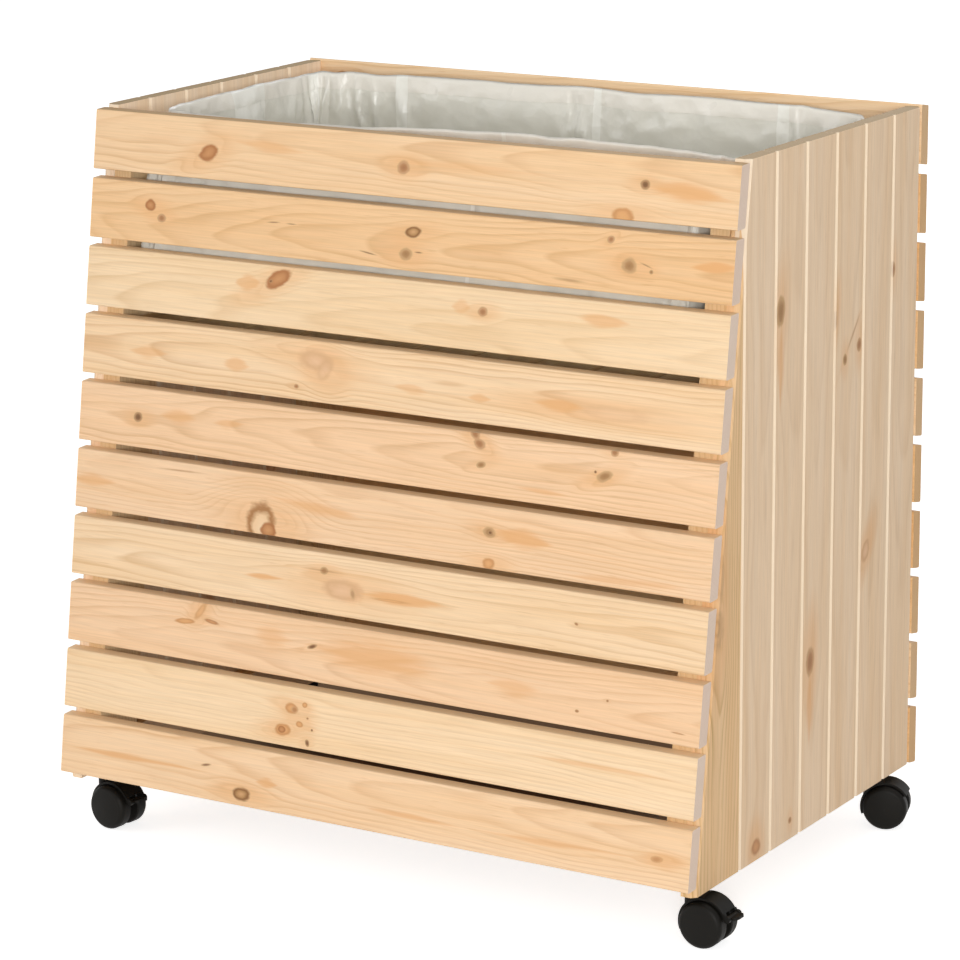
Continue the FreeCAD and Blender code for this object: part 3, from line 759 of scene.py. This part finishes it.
@dataclass
class InnerFrame:
    """Posts, rails and floor boards, which show only through gaps and from below."""

    pine: PlanedPine
    posts: tuple[str, ...] = (
        "front_left_post", "front_right_post", "back_right_post", "back_left_post")
    post_grain: Grain = Grain("#f6d6a8", "#d8ac76", 20, 50, 1.0, 0.4, 4.0, 0.6, 90.0)

    def dress(self) -> None:
        """Give the posts, rails and floor plainer pine."""
        for index, name in enumerate(self.posts):
            low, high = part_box(name)
            lie = Lie(UP, BACK, tuple((low + high) / 2))
            grain = replace(self.post_grain, seed=self.post_grain.seed + index)
            dress(name, self.pine.material(f"sawn_pine_{name}", lie, grain))
        lie = Lie(RIGHT, UP, (0.0, 0.0, 0.5))
        dress("inner_rails", self.pine.material("sawn_pine_rails", lie, Grain(seed=95.0)))
        lie = Lie(BACK, RIGHT, (0.0, 0.05, 0.566))
        grain = Grain(seed=97.0, bold=0.7)
        dress("floor_boards", self.pine.material("sawn_pine_floor", lie, grain))


@dataclass
class Liner:
    """The film bag: an uneven mouth, and walls that hang in soft creases to the floor boards.

    mouth and base are matching points round the bag in millimetres, from the front left corner
    along the front to the right; the mouth is as it stands, with how far each point sinks, the
    base as the floor holds it. folds are places round the bag, from 0 to 1, where the film stands
    in an upright pleat. front and swell say where it bulges against the slats, as shares round
    and down. Other sizes are in metres.
    """

    film: WovenFilm
    hem_film: WovenFilm
    mouth: tuple[Point, ...] = (
        (-349, -91, 3), (-332, -126, 1), (-300, -139, 0), (-240, -142, 1), (-176, -140, 2),
        (-69, -126, 1), (0, -106, 1), (61, -90, 2), (120, -93, 1), (186, -99, 0), (250, -103, 0),
        (308, -106, 1), (345, -110, 3), (356, -85, 8), (357, -20, 13), (357, 60, 14),
        (358, 140, 14), (356, 200, 12), (340, 226, 6), (280, 231, 2), (236, 231, 1), (150, 230, 0),
        (66, 229, 1), (0, 234, 0), (-45, 234, 1), (-138, 224, 0), (-219, 222, 0), (-280, 214, 1),
        (-320, 206, 0), (-352, 196, 1), (-358, 165, 2), (-357, 100, 1), (-356, 30, 2),
        (-354, -40, 3))
    base: Pairs = (
        (-356, -96), (-335, -124), (-300, -128), (-240, -130), (-176, -130), (-69, -130), (0, -130),
        (61, -130), (120, -130), (186, -130), (250, -130), (308, -128), (340, -120), (356, -95),
        (357, -20), (357, 60), (357, 140), (352, 195), (330, 222), (280, 232), (236, 233),
        (150, 233), (66, 233), (0, 233), (-45, 233), (-138, 233), (-219, 233), (-280, 232),
        (-330, 222), (-352, 190), (-357, 150), (-357, 100), (-357, 30), (-357, -40))
    folds: tuple[float, ...] = (0.16, 0.235, 0.30, 0.545, 0.615, 0.685, 0.775, 0.826, 0.885, 0.945)
    pleat_half: float = 0.009
    pleat_lean: float = 0.012
    pleat_deep: float = 0.0055
    pleat_fade: float = 0.6
    pleat_pivot: float = 0.2
    pleat_swing: float = 2.4
    pleat_rim: float = 0.35
    pleat_rise: float = 3.0
    waves_round: float = 4.2
    waves_down: float = 1.3
    wave_deep: float = 0.005
    crumples: Pairs = ((2.2, 0.0060), (4.6, 0.0032), (9.5, 0.0016))
    ridge_sharp: float = 2.2
    loose_rim: float = 0.12
    loose_rise: float = 6.0
    rim_wave: float = 0.0016
    rim_waves: float = 9.0
    front_middle: float = 0.18
    front_half: float = 0.196
    front_edge: float = 0.022
    swell_drops: tuple[float, float] = (0.10, 0.9)
    swell_rise: float = 0.16
    swell_fall: float = 0.15
    slats_y: float = -0.2563
    clear: float = 0.004
    top_z: float = 0.806
    floor_z: float = 0.5768
    floor_y: float = 0.036
    floor_share: float = 0.96
    floor_rumple: float = 0.004
    columns: int = 460
    rows: int = 44
    floor_rows: int = 14
    film_m: float = 0.30
    thickness: float = 0.0003
    hem_m: float = 0.019
    hem_rows: int = 16
    hem_edge: float = 0.005
    hem_turn: float = 7.0
    hem_stand: float = 0.0008
    hem_tuck: float = 0.0005
    hem_crown: float = 0.0006
    merge_m: float = 0.00005
    flat: tuple[float, float] = (1.19, 0.86)

    def along_loop(self, loop: tuple[tuple[float, ...], ...], share: float) -> Vector:
        """Point on a smooth closed line through the points of a loop.

        Args:
            loop: Points in millimetres.
            share: How far round, from 0 to 1.

        Returns:
            The point in metres, its sinking as Z.
        """
        count = len(loop)
        place = (share % 1.0) * count
        first = int(place)
        t = place - first
        a, b, c, d = (
            Vector(loop[(first + step) % count]).to_3d() for step in (-1, 0, 1, 2))
        return 0.5 * MM * (2 * b + (c - a) * t + (2 * a - 5 * b + 4 * c - d) * t * t
                           + (3 * b - a - 3 * c + d) * t ** 3)

    def inward(self, share: float, step: float = 0.004) -> Vector:
        """Level direction into the bag at a place round it, from a step to either side."""
        behind, before = (self.along_loop(self.mouth, share + way) for way in (-step, step))
        ahead = before - behind
        return Vector((-ahead.y, ahead.x, 0.0)).normalized()

    def creases(self, share: float, drop: float) -> float:
        """How far the film stands in from its smooth line: broad waves, crumples and pleats.

        Args:
            share: How far round, from 0 to 1.
            drop: Depth below the mouth, from 0 to 1.

        Returns:
            Distance in metres.
        """
        angle = share * math.tau
        ring = Vector((math.cos(angle), math.sin(angle), 0.0)) * self.waves_round
        broad = noise.noise(ring + Vector((0.0, 0.0, drop * self.waves_down)))
        crumple = 0.0
        for scale, deep in self.crumples:
            spot = ring * scale + Vector((7.0, 0.0, drop * 1.1 * scale + 3.0))
            ridge = 1.0 - abs(noise.noise(spot)) * self.ridge_sharp
            crumple += deep * max(0.0, ridge) ** 2
        pleat = 0.0
        for number, place in enumerate(self.folds):
            lean = self.pleat_lean * (drop - self.pleat_pivot) * math.sin(number * self.pleat_swing)
            apart = (share - place - lean) / self.pleat_half
            pleat += self.pleat_deep * max(0.0, 1.0 - abs(apart)) * (1.0 - self.pleat_fade * drop)
        foot = 1.0 - drop ** 4
        give = min(1.0, drop * self.loose_rise + self.loose_rim) * foot
        loose = (self.wave_deep * (broad + 0.5) + crumple) * give
        return loose + pleat * min(1.0, drop * self.pleat_rise + self.pleat_rim) * foot

    def wall_point(self, share: float, drop: float) -> Vector:
        """Point on the wall of the bag, which swells against the front slats between the posts.

        Args:
            share: How far round, from 0 to 1.
            drop: Depth below the mouth, from 0 to 1.

        Returns:
            The point in metres.
        """
        mouth = self.along_loop(self.mouth, share)
        base = self.along_loop(self.base, share)
        top = self.top_z - mouth.z
        stand = self.creases(share, drop)
        point = mouth.lerp(base, smooth(drop)) + self.inward(share) * stand
        angle = share * math.tau
        rim = Vector((math.cos(angle) * self.rim_waves, math.sin(angle) * self.rim_waves, 4.0))
        point.z = top + self.rim_wave * noise.noise(rim) * (1 - drop) - drop * (top - self.floor_z)
        turn = share - 1.0 if share > 0.5 else share
        first, last = self.swell_drops
        swell = clamp((drop - first) / self.swell_rise) * clamp((last - drop) / self.swell_fall)
        swell *= clamp((self.front_half - abs(turn - self.front_middle)) / self.front_edge)
        slope = math.tan(math.radians(LEAN_DEG))
        slats = self.slats_y + (point.z - SLAT_FOOT_Z) * slope + self.clear
        point.y += (slats + 0.5 * stand - point.y) * smooth(swell)
        return point

    def build(self) -> None:
        """Make the bag and its hem, and let them stand for the CAD liner."""
        bag = self.surface("liner_bag", self.bag_point, self.rows + self.floor_rows, self.film_m)
        hem = self.surface("liner_hem", self.hem_point, self.hem_rows, 2 * self.hem_m)
        for piece, film in ((bag, self.film), (hem, self.hem_film)):
            piece.data.materials.append(film.material())
            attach(piece, "bed")
            LOG.info("built %s", piece.name)
        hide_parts("liner")

    def bag_point(self, share: float, down: float) -> Vector:
        """Point of the bag, down the wall and then in over the floor.

        Args:
            share: How far round, from 0 to 1.
            down: From 0 at the mouth to 1 near the middle of the floor.

        Returns:
            The point in metres.
        """
        wall = self.rows / (self.rows + self.floor_rows)
        if down <= wall:
            return self.wall_point(share, down / wall)
        inward = (down - wall) / (1 - wall)
        foot = self.wall_point(share, 1.0)
        middle = Vector((0.5 * foot.x, self.floor_y, foot.z))
        point = foot.lerp(middle, self.floor_share * inward)
        point.z += self.floor_rumple * inward * (1 + noise.noise(point * 9.0))
        return point

    def hem_point(self, share: float, over: float) -> Vector:
        """Point of the folded hem, from its outer edge over the mouth to its inner edge.

        The first and the last row of faces are narrow, so that the hem's edges stay crisp.

        Args:
            share: How far round, from 0 to 1.
            over: From 0 outside to 1 inside.

        Returns:
            The point in metres.
        """
        row = 1 / self.hem_rows
        outer = min(over * self.hem_edge / row, self.hem_edge)
        inner = max(0.0, over - 1 + row) * self.hem_edge / row
        broad = clamp(over - row, 0.0, 1 - 2 * row) * (1 - 2 * self.hem_edge) / (1 - 2 * row)
        across = 2 * (outer + broad + inner) - 1
        reach = abs(across)
        point = self.wall_point(share, reach * self.hem_m / (self.top_z - self.floor_z))
        side = clamp(across * self.hem_turn, -1.0, 1.0)
        point += self.inward(share) * side * (self.hem_stand - self.hem_tuck * reach ** 4)
        point.z += self.hem_crown * (1 - abs(side))
        return point

    def surface(self, name: str, place: Callable[[float, float], Vector], rows: int,
                depth: float) -> bpy.types.Object:
        """Wrap a grid round the bag.

        Args:
            name: Name of the piece.
            place: Function from the shares round and down to a point.
            rows: Rows of faces down the piece.
            depth: Depth of the piece along the film.

        Returns:
            The piece, with a map in metres.
        """
        mesh = bpy.data.meshes.new(name)
        bm = bmesh.new()
        layer = bm.loops.layers.uv.new("film")
        bmesh.ops.create_grid(bm, x_segments=self.columns, y_segments=rows, size=0.5)
        for face in bm.faces:
            for loop in face.loops:
                x, y, _ = loop.vert.co
                loop[layer].uv = ((x + 0.5) * self.film.round_m, (y + 0.5) * depth)
        for vert in bm.verts:
            vert.co = place(vert.co.x + 0.5, vert.co.y + 0.5)
        bmesh.ops.remove_doubles(bm, verts=bm.verts, dist=self.merge_m)
        low = self.floor_z + 0.03
        inner = [edge for edge in bm.edges if edge.is_boundary and edge.verts[0].co.z < low]
        bmesh.ops.triangulate(bm, faces=bmesh.ops.holes_fill(bm, edges=inner, sides=0)["faces"])
        bmesh.ops.recalc_face_normals(bm, faces=bm.faces)
        bm.to_mesh(mesh)
        bm.free()
        mesh.polygons.foreach_set("use_smooth", [True] * len(mesh.polygons))
        piece = bpy.data.objects.new(name, mesh)
        bpy.context.scene.collection.objects.link(piece)
        skin = piece.modifiers.new("film_thickness", "SOLIDIFY")
        skin.thickness = self.thickness
        skin.offset = 0.0
        return piece


@dataclass
class Casters:
    """Four twin-wheel casters; the front two have brake levers."""

    nylon: MouldedNylon
    steel: DrawnSteel
    places: tuple[str, ...] = ("front_left", "front_right", "back_right", "back_left")
    braked: tuple[str, ...] = ("front_left", "front_right")

    def dress(self) -> None:
        """Give hoods, wheels, levers and pins their finishes."""
        black = self.nylon.material()
        bright = self.steel.material()
        for place in self.places:
            for piece in ("hood", "wheel_a", "wheel_b"):
                dress(f"{place}_{piece}", black)
            dress(f"{place}_pins", bright)
            if place in self.braked:
                dress(f"{place}_brake_lever", black)
        dress("nails", bright)


@dataclass(frozen=True)
class Lamp:
    """A square softbox: where it hangs, the length of its side, its power and what it points at."""

    name: str
    place: Point
    size: float
    watts: float
    target: Point = (0.0, 0.0, 0.45)

    def hang(self) -> None:
        """Add the lamp to the scene."""
        data = bpy.data.lights.new(self.name, "AREA")
        data.shape = "SQUARE"
        data.size = self.size
        data.energy = self.watts
        lamp = bpy.data.objects.new(self.name, data)
        lamp.location = self.place
        way = Vector(self.target) - Vector(self.place)
        lamp.rotation_euler = way.to_track_quat("-Z", "Y").to_euler()
        bpy.context.scene.collection.objects.link(lamp)


@dataclass
class Studio:
    """Pale floor, soft light and the camera.

    The floor glows white where it lies open: glow_aside is where that starts beside the line of
    sight, and glow_edges are the axis, start and end of its other borders. Below and behind the
    bed a soft shade is painted into the floor's colour, with its middle and half its size. All are
    in metres.
    """

    azimuth_deg: float = 31.3242
    elevation_deg: float = 14.0225
    roll_deg: float = -0.4488
    lens_mm: float = 144.30
    place: Point = (2.1497, -3.5503, 1.4343)
    floor_half: float = 30.0
    floor_tone: str = "#f4f4f4"
    floor_glow: float = 0.72
    glow_aside: tuple[float, float] = (0.36, 0.46)
    glow_edges: tuple[tuple[str, float, float], ...] = (
        ("Y", 0.03, -0.05), ("Y", 1.5, 2.2), ("X", 0.24, 0.30))
    # Painted shade: a dark brown patch in the floor's colour under and behind the bed.
    painted_shade_tone: str = "#755b43"
    painted_shade_middle: tuple[float, float] = (-0.22, 0.23)
    painted_shade_half: tuple[float, float] = (0.52, 0.29)
    room_light: float = 0.36
    lamps: tuple[Lamp, ...] = (
        Lamp("front_softbox", (2.85, -4.6, 2.8), 2.4, 22.0),
        Lamp("low_softbox", (2.75, -4.5, 1.35), 0.8, 111.0),
        Lamp("top_softbox", (0.45, -0.05, 1.8), 0.7, 3.0, (-0.25, 0.05, 0.75)),
        Lamp("left_softbox", (-4.0, -3.6, 2.0), 2.4, 50.0),
        Lamp("back_softbox", (-1.6, 5.2, 3.2), 2.4, 45.0),
    )

    def build(self) -> None:
        """Make the floor, the world, the lamps and the camera."""
        bpy.context.scene.view_settings.view_transform = "Standard"
        self.floor()
        self.world()
        for lamp in self.lamps:
            lamp.hang()
        self.camera()

    def floor(self) -> None:
        """A wide pale floor."""
        mesh = bpy.data.meshes.new("studio_floor")
        bm = bmesh.new()
        bmesh.ops.create_grid(bm, x_segments=1, y_segments=1, size=self.floor_half)
        bm.to_mesh(mesh)
        bm.free()
        material, add = new_material("pale_floor")
        place = add("TexCoord")["Object"]
        # The base colour carries a painted shade under and behind the bed.
        finish_shader(add, {
            "Base Color": self.tone_with_painted_shade(add, place), "Roughness": 0.9, "Specular IOR Level": 0.1,
            "Emission Color": (1, 1, 1, 1), "Emission Strength": self.open_glow(add, place)})
        mesh.materials.append(material)
        floor = bpy.data.objects.new("studio_floor", mesh)
        bpy.context.scene.collection.objects.link(floor)

    def open_glow(self, add: Add, place: Socket) -> Socket:
        """Glow of the open floor.

        Args:
            add: Adds a node.
            place: Place on the floor.

        Returns:
            Strength of the glow.
        """
        azimuth = math.radians(self.azimuth_deg)
        level = add("VectorMath", [
            place, (math.cos(azimuth), math.sin(azimuth), 0.0)], operation="DOT_PRODUCT")["Value"]
        aside = add("Math", [level], operation="ABSOLUTE")[0]
        plan = add("SeparateXYZ", [place])
        clear: Any = 0.0
        for value, near, far in ((aside, *self.glow_aside), *(
                (plan[axis], near, far) for axis, near, far in self.glow_edges)):
            edge = add("MapRange", {
                "Value": value, "From Min": near, "From Max": far},
                interpolation_type="SMOOTHSTEP")[0]
            clear = add("Math", [clear, edge], operation="MAXIMUM")[0]
        clear = add("Math", [clear, self.floor_glow], operation="MULTIPLY")[0]
        return add("Math", [clear, on_rays(add, "Camera", "Glossy")], operation="MULTIPLY")[0]

    def tone_with_painted_shade(self, add: Add, place: Socket) -> Socket:
        """Colour of the floor, with a soft shade painted in under and behind the bed.

        Args:
            add: Adds a node.
            place: Place on the floor.

        Returns:
            The colour.
        """
        middle_x, middle_y = self.painted_shade_middle
        half_x, half_y = self.painted_shade_half
        spread = add("VectorMath", [place, (-middle_x, -middle_y, 0.0)], operation="ADD")[0]
        spread = add("VectorMath", [spread, (1 / half_x, 1 / half_y, 0.0)], operation="MULTIPLY")[0]
        spread = add("VectorMath", [spread], operation="ABSOLUTE")[0]
        sides = add("SeparateXYZ", [spread])
        widest = add("Math", [sides["X"], sides["Y"]], operation="MAXIMUM")[0]
        open_share = add("MapRange", {
            "Value": widest, "From Min": 0.5, "From Max": 1.0}, interpolation_type="SMOOTHSTEP")[0]
        return add("Mix", {
            "Factor": open_share, 6: linear(self.painted_shade_tone), 7: linear(self.floor_tone)},
            data_type="RGBA")[2]

    def world(self) -> None:
        """White to the eye, a lower even light on the object."""
        world = bpy.data.worlds.new("studio_white")
        bpy.context.scene.world = world
        world.use_nodes = True
        world.node_tree.nodes.clear()
        add = partial(add_node, world.node_tree)
        strength = add("MapRange", {
            "Value": on_rays(add, "Camera", "Glossy", "Transmission"), "To Min": self.room_light,
            "To Max": 1.0})[0]
        back = add("Background", {"Color": (1, 1, 1, 1), "Strength": strength})
        add("OutputWorld", {"Surface": back[0]})

    def camera(self) -> None:
        """Set the camera where the photograph was taken from."""
        azimuth, elevation, roll = (
            math.radians(angle) for angle in (self.azimuth_deg, self.elevation_deg, self.roll_deg))
        level = math.cos(elevation)
        back = Vector((math.sin(azimuth) * level, -math.cos(azimuth) * level, math.sin(elevation)))
        right = Vector((math.cos(azimuth), math.sin(azimuth), 0.0))
        up = back.cross(right)
        right, up = (right * math.cos(roll) + up * math.sin(roll),
                     up * math.cos(roll) - right * math.sin(roll))
        data = bpy.data.cameras.new("camera")
        data.lens = self.lens_mm
        data.sensor_width = 36.0
        data.clip_end = 100.0
        camera = bpy.data.objects.new("camera", data)
        turn = Matrix((right, up, back)).transposed().to_4x4()
        camera.matrix_world = Matrix.Translation(self.place) @ turn
        bpy.context.scene.collection.objects.link(camera)
        bpy.context.scene.camera = camera


def main() -> None:
    """Dress the bed piece by piece."""
    logging.basicConfig(level=logging.INFO, format="%(name)s: %(message)s")
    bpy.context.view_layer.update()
    Studio().build()
    # The slats' ends get their end grain's colour; their top and bottom faces get a lighter tint,
    # painted light.
    slat_pine = PlanedPine(end_tint="#e8d4c6", end_share=0.8, edge_light_and_shade_tint="#fbe3bd", edge_light_and_shade_share=0.6)
    # The rim slat gets a darker tint on its top and bottom faces, painted shade.
    FrontWall(slat_pine, replace(slat_pine, edge_light_and_shade_tint="#9c7b48", edge_light_and_shade_share=0.8)).dress()
    # The back slats keep the default darker edge tint, painted shade on their top and bottom faces.
    BackWall(PlanedPine(end_tint="#d0a87a")).dress()
    # The panels' top ends get a dark tint, end grain and painted shade together; the groove
    # chamfers get a light tint, painted highlight.
    panel_pine = PlanedPine(end_tint="#957845", end_share=0.9, edge_light_and_shade_tint="#fdeed6",
                            edge_light_and_shade_share=0.6, edge_light_and_shade_from=0.4)
    SidePanel(panel_pine, "left").dress()
    SidePanel(panel_pine, "right").dress()
    # The inner frame keeps the default darker edge tint, painted shade.
    InnerFrame(PlanedPine()).dress()
    hem_film = WovenFilm("woven_polyethylene_hem", "#eee9df", "#e6e1d6", seam_from=0.0364)
    Liner(WovenFilm(), hem_film).build()
    Casters(MouldedNylon(), DrawnSteel()).dress()


if __name__ == "__main__":
    main()
